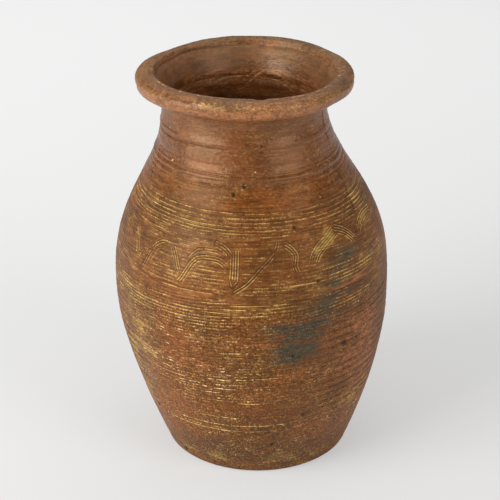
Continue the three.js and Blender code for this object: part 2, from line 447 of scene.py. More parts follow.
def base_disc():
    """Rows from the middle of the underside out, round the edge, up the side and back in over the floor. The
    floor rises and falls by a sine of radius minus turn, a finger's spiral."""
    under = np.linspace(4, FOOT_RADIUS - FOOT_ROUNDING, 34)
    quarter = np.linspace(0, math.pi / 2, 7)[1:]
    flat_radius = FOOT_RADIUS - FOOT_ROUNDING
    edge_radius = flat_radius + (outer_radius(FOOT_ROUNDING) - flat_radius) * np.sin(quarter)
    edge_height = FOOT_ROUNDING * (1 - np.cos(quarter))
    side = np.linspace(FOOT_ROUNDING, BASE_THICKNESS, 14)[1:]
    floor = np.linspace(outer_radius(BASE_THICKNESS) - 1, 3, 48)
    radius = np.concatenate([under, edge_radius, outer_radius(side), floor])[:, None]
    height = np.concatenate([0 * under, edge_height, side, 0 * floor + BASE_THICKNESS])[:, None]
    rows = np.arange(len(radius))[:, None]
    beneath = rows < len(under)
    floor_rows = rows >= len(radius) - len(floor)
    turn = np.radians(AROUND)
    grain = clay_noise(3, 90, 4.0, AROUND, radius)
    drag = 0.12 * np.sin(radius * np.cos(turn - 0.4) * 1.9 + 1.5 * grain)
    drag = drag * soft_step(radius, FOOT_RADIUS - 3, FOOT_RADIUS - 12)
    inner_floor = inner_radius(BASE_THICKNESS) - FLOOR_FILLET
    spiral = 0.45 * np.sin(radius * 0.85 - turn) * soft_step(radius, inner_floor, inner_floor - 6)
    raised = (0.19 + drag + 0.05 * grain) * soft_step(radius, FOOT_RADIUS - 2, FOOT_RADIUS - 6)
    height = height + beneath * raised
    height = height + floor_rows * (spiral + 0.1 * grain) * soft_step(radius, inner_floor, inner_floor - 3)
    relief, masks = outside_relief(AROUND, height + 0 * turn)
    outside = ~beneath & ~floor_rows
    radius = radius + np.where(outside, relief, 0)
    worn = clay_noise(8, 60, 5.0, AROUND, radius)
    masks = {key: np.where(outside, mask, 0) for key, mask in masks.items()}
    masks["ochre"] = masks["ochre"] + beneath * soft_step(worn, 0.0, 0.7) * 0.4
    # Painted shade over the inside floor
    masks["dark"] = masks["dark"] + floor_rows * 0.25
    first_crease = len(radius) - len(floor) - 1
    piece = turned_mesh("base_disc_clay", shaped_by_hand(radius, height), masks, [first_crease], closed=False)
    fired_on(piece, "base_disc", BODY_CLAY)


# What hand and comb left on the outside
# The whole pot was combed on the turning board once its rings stood: strokes of a fine comb, one beside the
# other and worn since, over the soft ridges that the fingers had left. Pale clay dust lies in the grooves.

COMB_PITCH = 2.25
COMB_DEPTH = 0.34
BELLY_CLIMB = 4.5
BELLY_CLIMB_TURN = -10.0
COMBED_FROM = 67.0
COMBED_TO = 151.5

# The two bands were combed while the pot turned, so their lines run all the way round
UPPER_BAND = [191.4, 193.2, 195.0, 197.1, 199.4, 202.0, 204.9]
LOWER_BAND = [155.4, 157.7, 159.8, 162.2, 164.5, 166.8]
PLAIN_BAND = [169.4, 171.5, 173.2, 175.6, 177.5, 179.2, 182.4, 184.6, 187.4]
BANDS = ((UPPER_BAND, 0.7, 0.72), (LOWER_BAND, 0.45, 0.58), (PLAIN_BAND, 0.5, 0.6))

# Where dust stayed in the grooves: degrees, height, half width, half height, strength
DUSTY = [
    (-50, 198, 17, 8, 0.25), (-8, 194.5, 20, 3.6, 0.3), (66, 199, 9, 8, 0.35), (-25, 197, 14, 5, 0.12),
    (3, 180, 8, 9, 0.38), (-28, 186, 14, 3, 0.3), (-20, 170, 12, 5, 0.24), (-45, 172, 9, 6, 0.2),
    (-42, 160, 16, 6, 0.15), (-20, 161, 14, 5, 0.22), (50, 161, 16, 5, 0.3), (10, 160, 14, 5, 0.2),
    (-8, 144, 18, 7, 0.35), (-30, 137, 18, 8, 0.3), (-14, 95, 20, 16, 0.1), (44, 141, 15, 5, 0.4),
    (-46, 98, 9, 11, 0.3), (-66, 95, 14, 34, 0.28), (-60, 138, 16, 8, 0.3), (120, 160, 40, 9, 0.4),
    (-150, 165, 40, 9, 0.4), (150, 198, 45, 8, 0.4), (-120, 197, 30, 7, 0.35), (150, 135, 40, 12, 0.4),
    (-110, 135, 30, 10, 0.4),
]
DUST_EVERYWHERE = 0.25
DUST_FREE = [
    (-31, 107, 7, 8, 0.25), (66, 105, 26, 30, 0.5), (22, 112, 12, 14, 0.25), (25, 200, 12, 5, 0.15),
    (-66, 100, 14, 24, 0.4),
]
# Where bright short dashes of it lie instead
DASHED = [(-14, 88, 24, 20, 1.0), (-42, 100, 12, 20, 0.8), (-24, 128, 28, 10, 0.7), (170, 100, 60, 30, 0.8)]

# Single lines of one tooth: height, middle and half length in degrees, rise per 100 degrees, depth, dust and
# cream
LONE_LINES = [
    (47.6, -12, 29, 4.9, 0.9, 1.0, 0.6), (41.9, -20, 31, 4.7, 0.9, 1.0, 0.55),
    (54.8, -17, 12, 5.0, 0.8, 0.9, 0.5), (44.2, -24, 18, 5.5, 0.5, 0.5, 0.1),
    (36.0, -36, 16, 3.0, 0.5, 0.4, 0.0), (69.5, 2, 12, 3.0, 0.6, 0.7, 0.2),
    (207.6, -38, 16, 1.0, 0.5, 0.5, 0.1), (112.0, -6, 9, 8.0, 0.8, 0.9, 0.7),
    (93.9, -13, 7, 4.0, 0.8, 0.9, 0.8), (89.3, -12, 6, 3.0, 0.8, 0.9, 0.8),
    (81.6, -12, 8, 5.0, 0.8, 0.9, 0.8), (78.4, -13, 3, 5.0, 0.8, 0.9, 0.7),
    (98.9, -22, 4, 5.0, 0.8, 0.9, 0.7), (103.4, -25, 5, 5.0, 0.8, 0.9, 0.6),
    (86.0, -36, 9, 5.0, 0.8, 0.9, 0.7), (91.0, -40, 6, 5.0, 0.8, 0.9, 0.7),
    (79.2, -42, 6, 5.0, 0.8, 0.9, 0.6), (101.6, -44, 4, 9.0, 0.9, 1.0, 0.9),
    (97.2, -44, 4, 9.0, 0.9, 1.0, 0.9), (94.8, -49, 4, 9.0, 0.8, 1.0, 0.5),
    (106.3, -46, 7, 9.0, 0.8, 0.8, 0.3), (144.6, -8, 10, 3.0, 0.9, 0.9, 0.6),
    (147.7, 0, 12, 2.0, 0.8, 0.9, 0.3), (141.8, -12, 12, 4.0, 0.8, 0.8, 0.2),
    (91.6, 7, 8, 3.0, 0.7, 0.8, 0.5), (82.4, 2, 5, 3.0, 0.7, 0.8, 0.7),
    (154.4, -34, 22, 1.0, 0.8, 0.8, 0.1), (45.0, 110, 60, 3.5, 0.7, 0.7, 0.2),
    (50.2, 130, 40, 3.5, 0.7, 0.7, 0.2), (41.0, -140, 50, 3.5, 0.7, 0.7, 0.2),
    (96.0, 150, 12, 4.0, 0.8, 0.9, 0.6), (88.0, -120, 14, 4.0, 0.8, 0.9, 0.6),
]


def spots(angle, height, entries):
    """Sum of soft spots."""
    return sum(entry[4] * blob(angle, height, *entry[:4]) for entry in entries)


def within(value, low, high, fade):
    """1 from low to high, and a smooth fall to 0 beyond both."""
    return soft_step(value, low - fade, low) * soft_step(value, high + fade, high)


def tremble(seed, angle):
    """The small waver of a hand: three sines that close on themselves round the pot."""
    draw = np.random.default_rng(seed)
    waves = zip((2, 5, 11), (0.22, 0.12, 0.06), draw.uniform(0, 2 * math.pi, 3))
    return sum(size * np.sin(k * np.radians(angle) + turn) for k, size, turn in waves)


def comb_over(marks, place, stroke, tooth, groove, fill, cream=0.0):
    """Draws one stroke: tooth counts the teeth across it, groove is how deep it is cut. It counts only where
    it is cut deeper than the strokes under it."""
    deeper = groove > marks["groove"][place]
    drawn = {"stroke": stroke, "tooth": tooth, "groove": groove, "fill": fill, "cream": cream}
    for key, value in drawn.items():
        marks[key][place] = np.where(deeper, value, marks[key][place])


def dustiness(angle, height):
    """How much dust stayed: some everywhere, more or less of it in places."""
    return DUST_EVERYWHERE + spots(angle, height, DUSTY) - spots(angle, height, DUST_FREE)


def turned_strokes(marks, angle, height):
    """The strokes that run all the way round. On the belly they climb to the right by a sine of the angle; in
    the bands each tooth has a level of its own, and the count of teeth is read off between those levels."""
    everywhere = (slice(None), slice(None))
    climb = BELLY_CLIMB * np.sin(np.radians(angle - BELLY_CLIMB_TURN)) + tremble(51, angle)
    slanted = height - climb
    dusty = np.clip(dustiness(angle, height), 0, 1)
    own = clay_noise(82, 26, COMB_PITCH, angle, slanted)
    dash = clay_noise(83, 90, COMB_PITCH, angle, slanted)
    short = soft_step(clay_noise(92, 120, 1.7, angle, slanted), 0.25, 0.6) * spots(angle, height, DASHED)
    drift = 0.4 * clay_noise(84, 6, 17.0, angle, height)
    crisp = 0.45 + 0.55 * soft_step(height, 122, 133)
    zone = soft_step(slanted, COMBED_FROM - 6, COMBED_FROM + 6)
    zone = zone * soft_step(height, COMBED_TO + 1, COMBED_TO - 1)
    groove = zone * crisp * np.clip(0.6 + 0.3 * own, 0.1, 0.8)
    fill = zone * np.clip(dusty * (0.95 + 0.5 * own + 0.25 * dash), 0, 1)
    comb_over(marks, everywhere, 1, slanted / COMB_PITCH + drift, groove, fill, zone * short)
    for number, (levels, cut, held) in enumerate(BANDS):
        line = height - 0.7 * tremble(50 + number, angle)
        ends = [levels[0] - COMB_PITCH, *levels, levels[-1] + COMB_PITCH]
        tooth = np.interp(line, ends, np.arange(len(ends)) - 1)
        own = clay_noise(86 + number, 18, 1.9, angle, line)
        dash = clay_noise(89 + number, 110, 1.7, angle, line)
        zone = within(line, levels[0] - 1.0, levels[-1] + 1.0, 0.5)
        groove = zone * cut * np.clip(0.8 + 0.4 * own, 0, 1)
        fill = zone * held * np.clip(0.32 + dusty + 0.16 * own + 0.22 * dash, 0, 1)
        comb_over(marks, everywhere, 2 + number, np.clip(tooth, -0.5, len(levels) - 0.5), groove, fill)


def lone_lines(marks, angle, height):
    """Single lines: the count of teeth is 0 along the line, and the stroke is only as wide as its groove."""
    levels = height.mean(axis=1)
    for number, (level, middle, reach, rise, deep, held, cream) in enumerate(LONE_LINES):
        away = turned_from(angle, middle)
        line = level + rise * away / 100 + 0.4 * tremble(60 + number, angle)
        columns = np.abs(away) < reach
        rows = (levels > line[columns].min() - 2) & (levels < line[columns].max() + 2)
        if rows.any():
            place = np.ix_(rows, columns)
            across = height[place] - line[columns]
            ends = soft_step(reach - np.abs(away[columns]), 0, 5)
            dash = np.clip(0.8 + 0.5 * clay_noise(300 + number, 110, 400.0, angle, 0 * angle)[columns], 0, 1)
            groove = deep * within(across, -1.1, 1.1, 0.4) * ends
            tooth = np.clip(across / COMB_PITCH, -0.5, 0.5)
            comb_over(marks, place, 10 + number, tooth, groove, held * dash * ends, cream * dash * ends)


# The incised band on the shoulder: a narrow comb drawn up and down in arches, from left to right round the
# pot. Each stroke: teeth, depth, dust, and the places the comb passed, in degrees from the front and
# millimetres up
NARROW_PITCH = 1.65
BAND_RADIUS = 87.0
BAND_FIGURES = [
    (3, 1.0, 0.9, [(-61.5, 181), (-59.4, 175.2), (-58.1, 170.1), (-56.4, 165.6)]),
    (2, 0.9, 0.75, [(-53.7, 170), (-54.9, 166.5), (-55.9, 163)]),
    (2, 1.0, 0.75, [
        (-51.9, 157), (-50.6, 161.6), (-48.8, 168.4), (-47.5, 173.7), (-46.1, 176.8), (-43.4, 179.6),
        (-40.7, 180.6), (-38.1, 179.8),
    ]),
    (3, 1.0, 0.8, [(-36.7, 179.6), (-34.5, 174.1), (-33.2, 169.6), (-31.9, 165.4)]),
    (2, 0.95, 0.75, [(-48.9, 163), (-46.6, 169.6), (-45.6, 173.4), (-44, 175.6), (-41, 176.6)]),
    (2, 0.95, 0.9, [
        (-27.7, 174.2), (-26.1, 177.6), (-24.1, 180.5), (-21.7, 181.4), (-18.3, 181.7), (-14.9, 181.4),
        (-12.5, 180), (-10.3, 177.8),
    ]),
    (3, 1.0, 0.85, [
        (-31.1, 157.8), (-29.2, 162.5), (-27.5, 167.6), (-26.1, 171.4), (-24.1, 174.9), (-21.7, 176.4),
        (-17.6, 176.9), (-14.2, 176.4), (-12.2, 175), (-10.5, 173.2),
    ]),
    (3, 1.0, 0.7, [(-17.1, 186.2), (-14.9, 185.7), (-12.1, 184.1), (-10.2, 181.9), (-9.2, 179.6)]),
    (2, 0.95, 0.5, [(-9.1, 167), (-8.7, 162), (-7.6, 159.4), (-6.5, 161.3), (-5.3, 164)]),
    (4, 1.0, 0.9, [(-7, 183.5), (-7, 177), (-7, 170), (-7.1, 164.3)]),
    (2, 1.0, 0.8, [(-7.6, 155.6), (-4.3, 159), (-1.3, 162.7), (3.7, 171.2), (8.7, 178.5), (10.4, 181.2)]),
    (2, 0.95, 0.7, [(10.7, 182.4), (11.8, 186), (12.3, 188.6)]),
    (3, 1.0, 0.8, [(14.9, 186.6), (17.9, 183.2), (19.7, 179.2), (19.3, 175.2), (19, 171.8), (20, 167.3)]),
    (5, 1.0, 1.0, [(27.5, 173), (29.6, 177.6), (32.6, 181), (36, 183.8), (39.5, 186.6), (41.8, 188.3)]),
    (4, 1.0, 1.0, [(41.5, 189.4), (44.9, 187.4), (47.6, 185.1), (49.9, 182.0), (51.8, 178.4)]),
    (4, 1.0, 0.85, [(56.3, 181.5), (59.2, 184.7), (62.7, 187), (67.4, 188), (74.7, 187)]),
    (3, 0.9, 0.6, [
        (-89.3, 160), (-85.3, 170), (-80.3, 179), (-75.3, 182), (-70.3, 180.5), (-67.3, 176), (-65.3, 168),
    ]),
]


def hidden_figures():
    """The arches go on round the back, each about 22 degrees wide and a little unlike the one before."""
    draw = np.random.default_rng(12)
    figures = []
    for start in np.arange(84.0, 262.0, 22.5):
        top = 182 + draw.uniform(-2, 3)
        left, right = start + draw.uniform(0, 2), start + 20 + draw.uniform(-2, 1)
        middle = (left + right) / 2
        rising = [(left, 158.5), (left + 3, 168), (left + 6, 176), (middle, top)]
        falling = [(right - 4, 176.5), (right - 1, 166)]
        figures.append((int(draw.integers(2, 4)), 1.0, 0.7, rising + falling))
        if draw.random() < 0.5:
            figures.append((3, 1.0, 0.75, [(right + 1, 185), (right + 1.3, 174), (right + 1, 163)]))
    return figures


def route_distance(x, y, route):
    """Signed distance of points from a route of straight legs, and how far along the route the nearest point
    lies, from 0 to 1: each point is dropped on every leg, and the nearest foot wins."""
    a, b = route[:-1], route[1:]
    leg = b - a
    length = np.maximum((leg**2).sum(1), 1e-9)
    dx, dy = x[..., None] - a[:, 0], y[..., None] - a[:, 1]
    along = np.clip((dx * leg[:, 0] + dy * leg[:, 1]) / length, 0, 1)
    gap = np.hypot(dx - along * leg[:, 0], dy - along * leg[:, 1])
    side = np.sign(leg[:, 0] * dy - leg[:, 1] * dx)
    nearest = gap.argmin(-1)[..., None]
    signed = np.take_along_axis(gap * side, nearest, -1)[..., 0]
    travelled = (np.take_along_axis(along, nearest, -1)[..., 0] + nearest[..., 0]) / len(leg)
    return signed, travelled


def drawn_on(angle, height, places, radius, reach):
    """The part of a grid within reach of a route drawn on the wall: its rows and columns, the signed distance
    in millimetres and the way along the route. Degrees become millimetres at this radius."""
    scale = math.radians(1) * radius
    route = smooth_route(places)
    middle = route[:, 0].mean()
    away = turned_from(angle, middle)
    route = np.stack([(route[:, 0] - middle) * scale, route[:, 1]], -1)
    levels = height.mean(axis=1)
    columns = np.abs(away) * scale < np.abs(route[:, 0]).max() + reach
    rows = (levels > route[:, 1].min() - reach) & (levels < route[:, 1].max() + reach)
    if not rows.any():
        return None, None, None
    pick = np.ix_(rows, columns)
    x = np.broadcast_to(away[columns] * scale, (rows.sum(), columns.sum()))
    signed, travelled = route_distance(x, height[pick], route)
    return pick, signed, travelled


def band_figures(marks, angle, height):
    """The arches: a point's distance across the comb's route, counted in teeth."""
    for number, (teeth, deep, held, places) in enumerate(BAND_FIGURES + hidden_figures()):
        pick, signed, travelled = drawn_on(angle, height, places, BAND_RADIUS, 7.0)
        if pick is not None:
            half = teeth / 2 * NARROW_PITCH
            ends = soft_step(np.minimum(travelled, 1 - travelled), 0.0, 0.04)
            wear = np.clip(0.9 + 0.35 * clay_noise(900 + number, 150, 4.0, angle, height)[pick], 0, 1)
            groove = deep * within(signed, -half - 0.5, half + 0.5, 0.3) * ends
            tooth = np.clip(signed / NARROW_PITCH + (teeth - 1) / 2, -0.5, teeth - 0.5)
            comb_over(marks, pick, 100 + number, tooth, groove, 1.1 * held * wear * ends)


def comb_marks(angle, height):
    """All the strokes. Where one meets another, the two grooves are left out, so that no false lines appear
    between the two counts of teeth."""
    marks = {key: np.zeros(height.shape) for key in ("stroke", "tooth", "groove", "fill", "cream")}
    turned_strokes(marks, angle, height)
    lone_lines(marks, angle, height)
    band_figures(marks, angle, height)
    stroke = marks.pop("stroke")
    meets = (stroke != np.roll(stroke, 1, axis=1)) | (stroke != np.roll(stroke, -1, axis=1))
    meets[1:] |= stroke[1:] != stroke[:-1]
    meets[:-1] |= stroke[1:] != stroke[:-1]
    for key in ("groove", "fill", "cream"):
        marks[key] = np.where(meets, 0, marks[key])
    return marks


# Finger ridges: height, strength in millimetres outwards, half width
NECK_RIDGES = [
    (243.8, 1.15, 3.8), (236.0, 0.7, 4.5), (241.9, -0.8, 0.75), (245.2, 0.35, 1.0), (231.8, -0.35, 1.1),
    (227.3, 0.75, 0.8), (226.3, -0.45, 0.5), (223.9, 1.2, 1.3), (222.2, -0.65, 0.6), (219.9, 0.6, 0.7),
    (218.7, -0.5, 0.55), (214.6, -0.2, 0.9), (210.0, -0.22, 0.6), (207.2, 0.25, 0.6), (256.0, -0.15, 1.4),
]
BELLY_RIDGE_PITCH = 5.7

# Pits where grit or straw burnt out: degrees, height, radius in millimetres, depth
PITS = [
    (41.3, 108.3, 1.5, 1.3), (35.0, 107.6, 0.8, 0.7), (16.7, 108.4, 1.0, 0.9), (22.8, 55.3, 0.9, 0.8),
    (8.3, 29.6, 1.1, 0.9), (-48.5, 5.8, 1.6, 1.2), (21.2, 195.3, 0.9, 0.6), (-2.0, 220.6, 1.2, 0.7),
    (-8.0, 215.0, 1.0, 0.4), (28.3, 160.0, 0.9, 0.5), (10.5, 245.0, 0.9, 0.4), (-58.0, 42.0, 1.2, 0.7),
    (120.0, 88.0, 1.2, 1.0), (163.0, 142.0, 0.9, 0.8), (-121.0, 60.0, 1.3, 1.0), (-150.0, 118.0, 0.8, 0.7),
    (92.0, 34.0, 1.0, 0.8), (-97.0, 150.0, 0.8, 0.7), (-170.0, 222.0, 1.0, 0.6), (134.0, 236.0, 0.8, 0.5),
]
# A drying crack on the right, from the undercut down through the comb marks: degrees and height
CRACK = [
    (66.5, 258), (67.0, 252), (66.6, 246), (67.5, 238), (66.8, 232), (64.8, 226), (63.3, 219), (62.6, 212),
    (61.4, 205), (60.3, 198), (59.6, 193),
]
# Pale spots of grit that broke the burnished skin: degrees, height, radius
WHITE_SPOTS = [
    (-13.2, 226.3, 0.6), (-3.1, 218.5, 0.6), (-52.3, 228.0, 1.0), (41.6, 231.8, 0.6), (47.8, 226.8, 0.7),
    (52.3, 235.2, 0.6), (58.2, 224.6, 0.7), (53.8, 224.8, 0.6), (5.5, 229.0, 0.6), (15.2, 215.4, 0.7),
    (-60.5, 247.5, 0.9), (-8.0, 106.8, 0.9), (-22.2, 126.5, 0.7), (40.5, 209.0, 0.6), (150.0, 232.0, 0.7),
    (-110.0, 226.0, 0.6), (-140.0, 240.0, 0.7), (100.0, 219.0, 0.7), (175.0, 110.0, 0.8),
    (-128.0, 128.0, 0.8),
]
# Soft spots, each with degrees, height, half width, half height and strength: the grey clouds of the firing
CLOUDS = [
    (18, 109, 10, 7, 1.1), (22, 119, 9, 7, 1.0), (25, 129, 11, 5, 1.0), (28, 142, 9, 6, 0.85),
    (43, 147.5, 10, 2.5, 0.85), (36, 155.5, 7, 2.5, 0.8), (44, 172, 8, 7, 0.85), (38, 163, 6, 5, 0.5),
    (10, 130, 8, 5, 0.65), (39, 136, 8, 3, 0.6), (0, 14, 46, 12, 0.18), (62, 24, 34, 14, 0.15),
    (35, 103, 10, 7, 0.3), (7, 104, 8, 6, 0.12), (-6, 30, 30, 7, 0.22), (150, 90, 22, 14, 0.8),
    (158, 118, 12, 10, 0.7), (-120, 70, 14, 12, 0.45), (12, 66, 12, 8, 0.2), (14, 122, 6, 10, 0.3),
]
# Where the skin is rubbed shinier, or duller where the strength is below 0
RUBBED = [
    (-28, 179, 15, 15, 1.3), (-30, 236, 10, 5, -0.7), (31, 236, 9, 5, -0.5), (-28, 147, 10, 6, 0.6),
    (16, 184, 12, 8, 0.4), (-50, 110, 14, 30, 0.5),
]
# Soot and dirt, and painted shade: the spots on the neck under the lip at -60, -32 and 34 degrees, on the
# shoulder at 45 degrees and along the foot's lower edge darken where less light falls
SOOT_AND_SHADE = [
    (-48, 198, 22, 8, 0.2), (3, 176, 10, 12, 0.38), (-54, 174, 10, 7, 0.16), (-44, 161, 9, 5, 0.14),
    (2, 44, 12, 7, 0.18), (0, 200, 12, 9, 0.22), (10, 8, 46, 18, 0.2), (10, 24, 40, 7, 0.16),
    (45, 208, 12, 5, 0.22), (36, 7, 18, 5, 0.2), (8, 50, 16, 14, 0.3), (45, 42, 10, 7, 0.2),
    (0, 150, 12, 10, 0.22), (-26, 28, 12, 12, 0.16), (-40, 22, 9, 6, 0.22), (-34, 15, 10, 5, 0.24),
    (24, 28, 22, 8, 0.2), (-20, 28, 22, 8, 0.06), (0, 14, 12, 3, 0.35), (46, 16, 9, 4, 0.26),
    (-32, 240, 14, 8, 0.2), (34, 238, 12, 6, 0.12), (-60, 240, 12, 14, 0.25), (-55, 135, 12, 5, 0.2),
    (-24, 104, 8, 5, 0.08),
]
# Orange blushes where the flame touched; the first, at -28 degrees and 179 mm, is a painted highlight
BLUSHES_AND_HIGHLIGHT = [
    (-28, 179, 13, 10, 0.3), (22.3, 45, 3.4, 2.2, 1.15), (50, 152.3, 8, 1.6, 0.95),
    (35, 151.8, 14, 1.5, 0.5), (35, 133, 9, 1.1, 0.75), (20, 119.6, 13, 1.0, 0.55), (33, 127, 3, 2, 0.5),
    (-22, 98, 14, 12, 0.5), (44, 122, 14, 8, 0.4), (-58, 187, 5, 1.6, 0.6), (-18, 151, 16, 2.0, 0.5),
    (-33, 116, 9, 4, 0.4), (50, 248, 10, 4, 0.35), (-52, 245, 12, 6, 0.3), (1, 19, 4, 5, 0.35),
    (110, 140, 14, 5, 0.6), (-150, 170, 16, 4, 0.5), (176, 60, 16, 8, 0.5), (-12, 119, 16, 5, 0.35),
    (54, 94, 16, 32, 0.7), (30, 90, 8, 8, 0.3), (-16, 45, 8, 6, 0.3),
]
# Ochre dust, and painted sheen and highlight: the spots on the belly's left edge at -63, -62 and -52 degrees
# stand for the sheen where it reflects the table, and the one at -28 degrees and 179 mm for a highlight
OCHRE_AND_SHEEN = [
    (-28, 179, 13, 10, 0.15), (-52, 110, 10, 12, 0.55), (-62, 58, 8, 12, 0.35), (-15, 198, 8, 6, 0.2),
    (-14, 122, 8, 5, 0.25), (33, 155, 9, 9, 0.25), (62, 145, 8, 22, 0.3), (-20, 11, 10, 5, 0.6),
    (11, 13, 8, 5, 0.68), (29, 10, 9, 5, 0.7), (44, 12, 8, 5, 0.5), (54, 58, 11, 9, 0.6),
    (-45, 10, 8, 4, 0.2), (10, 24, 48, 15, 0.1), (-52, 198, 18, 8, 0.28), (-26, 197, 14, 5, 0.15),
    (6, 197, 16, 5, 0.1), (68, 200, 10, 8, 0.25), (30, 193, 8, 4, 0.3), (30.5, 179, 3.2, 4, 0.75),
    (35, 183.5, 4, 4, 0.9), (38.5, 187, 3.5, 4, 0.8), (64, 184, 7, 5, 0.6), (-63, 92, 10, 34, 0.5),
    (-48, 95, 4, 4, 0.8), (3, 106, 7, 5, 0.35), (12, 160, 16, 5, 0.15), (-40, 162, 22, 8, 0.3),
    (56, 162, 12, 5, 0.22), (5, 142, 20, 7, 0.3), (-60, 138, 16, 8, 0.35), (150, 10, 30, 7, 0.5),
    (-120, 12, 26, 7, 0.5), (120, 200, 30, 8, 0.3), (-150, 160, 30, 6, 0.3),
]

# Dents where the hands held the wet wall, with the depth in millimetres as their strength
HAND_DENTS = [(150, 190, 30, 20, 0.8), (-140, 90, 30, 25, 0.8)]


def belly_valleys(angle, height):
    """The narrow valleys between the broad finger ridges of the belly, from 0 to 1: the eighth power of a
    cosine, with an uneven beat. In front they are worn down."""
    beat = math.pi * (height - angle / 60) / BELLY_RIDGE_PITCH + 0.8 * clay_noise(26, 5, 26.0, angle, height)
    zone = soft_step(height, 34, 60) * soft_step(height, 142, 128)
    kept = 0.3 + 0.7 * soft_step(np.abs(turned_from(angle, -12)), 32, 56)
    return np.cos(beat) ** 8 * zone * kept * (0.75 + 0.4 * clay_noise(25, 12, 12.0, angle, height))


def neck_ridges(angle, height):
    """The rings of the neck, each a bell curve that wavers and swells a little on its way round. They were
    pressed hardest in front."""
    relief = np.zeros(height.shape)
    for level, strength, half in NECK_RIDGES:
        waver = level + 0.35 * tremble(int(level), angle)
        swelling = 0.85 + 0.4 * clay_noise(int(level), 8, 500.0, angle, 0 * height)
        relief += strength * bell(height - waver, half) * swelling
    return relief * (1 - 0.5 * soft_step(np.abs(angle), 52, 80))


def drying_crack(angle, height):
    """The crack: a narrow bell curve about a wandering line, wider where it opened."""
    line = np.interp(-height, [-level for _, level in CRACK], [middle for middle, _ in CRACK])
    line = line + 0.25 * clay_noise(31, 1, 1.3, 0 * angle, height)
    length = soft_step(height, 192.5, 195) * soft_step(height, 262, 257)
    gaping = bell(height - 254.5, 3.2)
    torn = 0.7 * soft_step(clay_noise(32, 1, 5.0, 0 * angle, height), -0.2, 0.6)
    opened = 0.35 + 0.65 * np.maximum(gaping, torn)
    across = (angle - line) * math.radians(1) * outer_radius(height)
    return bell(across, 0.25 + 0.45 * opened) * length * opened


def outside_relief(angle, height):
    """How far the outside stands out from its plain outline, in millimetres, and the masks of what lies on
    it."""
    marks = comb_marks(angle, height)
    noise = clay_noise_over(angle, height)
    grooves = COMB_DEPTH * marks["groove"] * (0.5 + 0.5 * np.cos(2 * math.pi * marks["tooth"]))
    uneven = 0.35 * noise(21, 9, 34.0) + 0.16 * noise(22, 30, 13.0)
    grainy = 0.06 * noise(23, 300, 1.6) + 0.06 * noise(24, 160, 0.9)
    valleys = belly_valleys(angle, height)
    ridges = neck_ridges(angle, height) - 0.9 * valleys
    # Painted shade: the dark mask darkens the belly's valleys, each pit and the crack, where shade falls in
    # them
    pits, dark = np.zeros(height.shape), 0.58 * valleys
    for middle, level, size, deep in PITS:
        hole = blob(angle, height, middle, level, math.degrees(size / outer_radius(level)), size)
        pits += deep * hole
        dark += 2.4 * hole
    dark += spots(angle, height, SOOT_AND_SHADE) * (1 + 0.4 * noise(55, 60, 2.0))
    gap = drying_crack(angle, height)
    pits += 0.9 * gap
    dark += 0.9 * gap
    chip = np.zeros(height.shape)
    for middle, level, size in WHITE_SPOTS:
        chip += blob(angle, height, middle, level, math.degrees(0.7 * size / outer_radius(level)), 0.7 * size)
    combed = soft_step(height, 208, 203)
    scattered = 0.07 + 0.17 * dustiness(angle, height) + 0.1 * noise(54, 60, 4.0)
    scattered = scattered + 0.12 * soft_step(height, 120, 30)
    swept = 0.25 * soft_step(height, 40, 70) + 0.65 * soft_step(height, 130, 155)
    shiny = soft_step(height, 201, 209) + spots(angle, height, RUBBED)
    masks = masks_for(
        height.shape,
        tooth=marks["tooth"],
        groove=marks["groove"],
        fill=marks["fill"] * (1 - 0.5 * np.clip(dark, 0, 1)),
        cream=marks["cream"],
        crumbs=np.clip(scattered, 0, 0.4) * combed * (1 - 0.6 * within(height, 170, 188, 4)),
        chip=chip * 1.3,
        ochre=spots(angle, height, OCHRE_AND_SHEEN) * (0.85 + 0.6 * noise(51, 70, 4.0)),
        blush=spots(angle, height, BLUSHES_AND_HIGHLIGHT) * (0.9 + 0.5 * noise(52, 90, 2.0)),
        cloud=spots(angle, height, CLOUDS) * (0.9 + 0.5 * noise(53, 80, 2.4)),
        dark=dark,
        polish=shiny * (0.8 + 0.3 * noise(41, 14, 9.0)),
        swept=swept - 0.35 * soft_step(height, 208, 222),
    )
    relief = uneven + grainy + ridges - grooves - pits + 0.15 * chip - spots(angle, height, HAND_DENTS)
    return relief * soft_step(height, -4, 6), masks


base_disc()

# The four rings of the wall
# Thick coils, pinched up and thrown into rings 7 mm thick, each luted on the flat edge of the one below. The
# joins are smeared over inside and out, so nothing of them shows; the inside keeps the soft finger rings.

INSIDE_RING_PITCH = 8.5
THROAT_RADIUS = 52.0

# Scratches inside the throat, left by a scoop: places in degrees and height, depth
SCRATCHES = [
    ([(184, 247), (173, 256), (161, 264)], 0.45),
    ([(187, 250), (178, 257), (169, 263)], 0.3),
    ([(164, 255.5), (150, 254), (134, 248.5)], 0.45),
    ([(158, 261), (147, 257), (134, 250)], 0.35),
    ([(-152, 254), (-166, 256), (-180, 256.5), (168, 255)], 0.4),
    ([(-156, 262), (-168, 262.5), (178, 262)], 0.3),
    ([(-30, 256), (-12, 262), (8, 259)], 0.3),
    ([(60, 252), (74, 262), (90, 266)], 0.25),
]


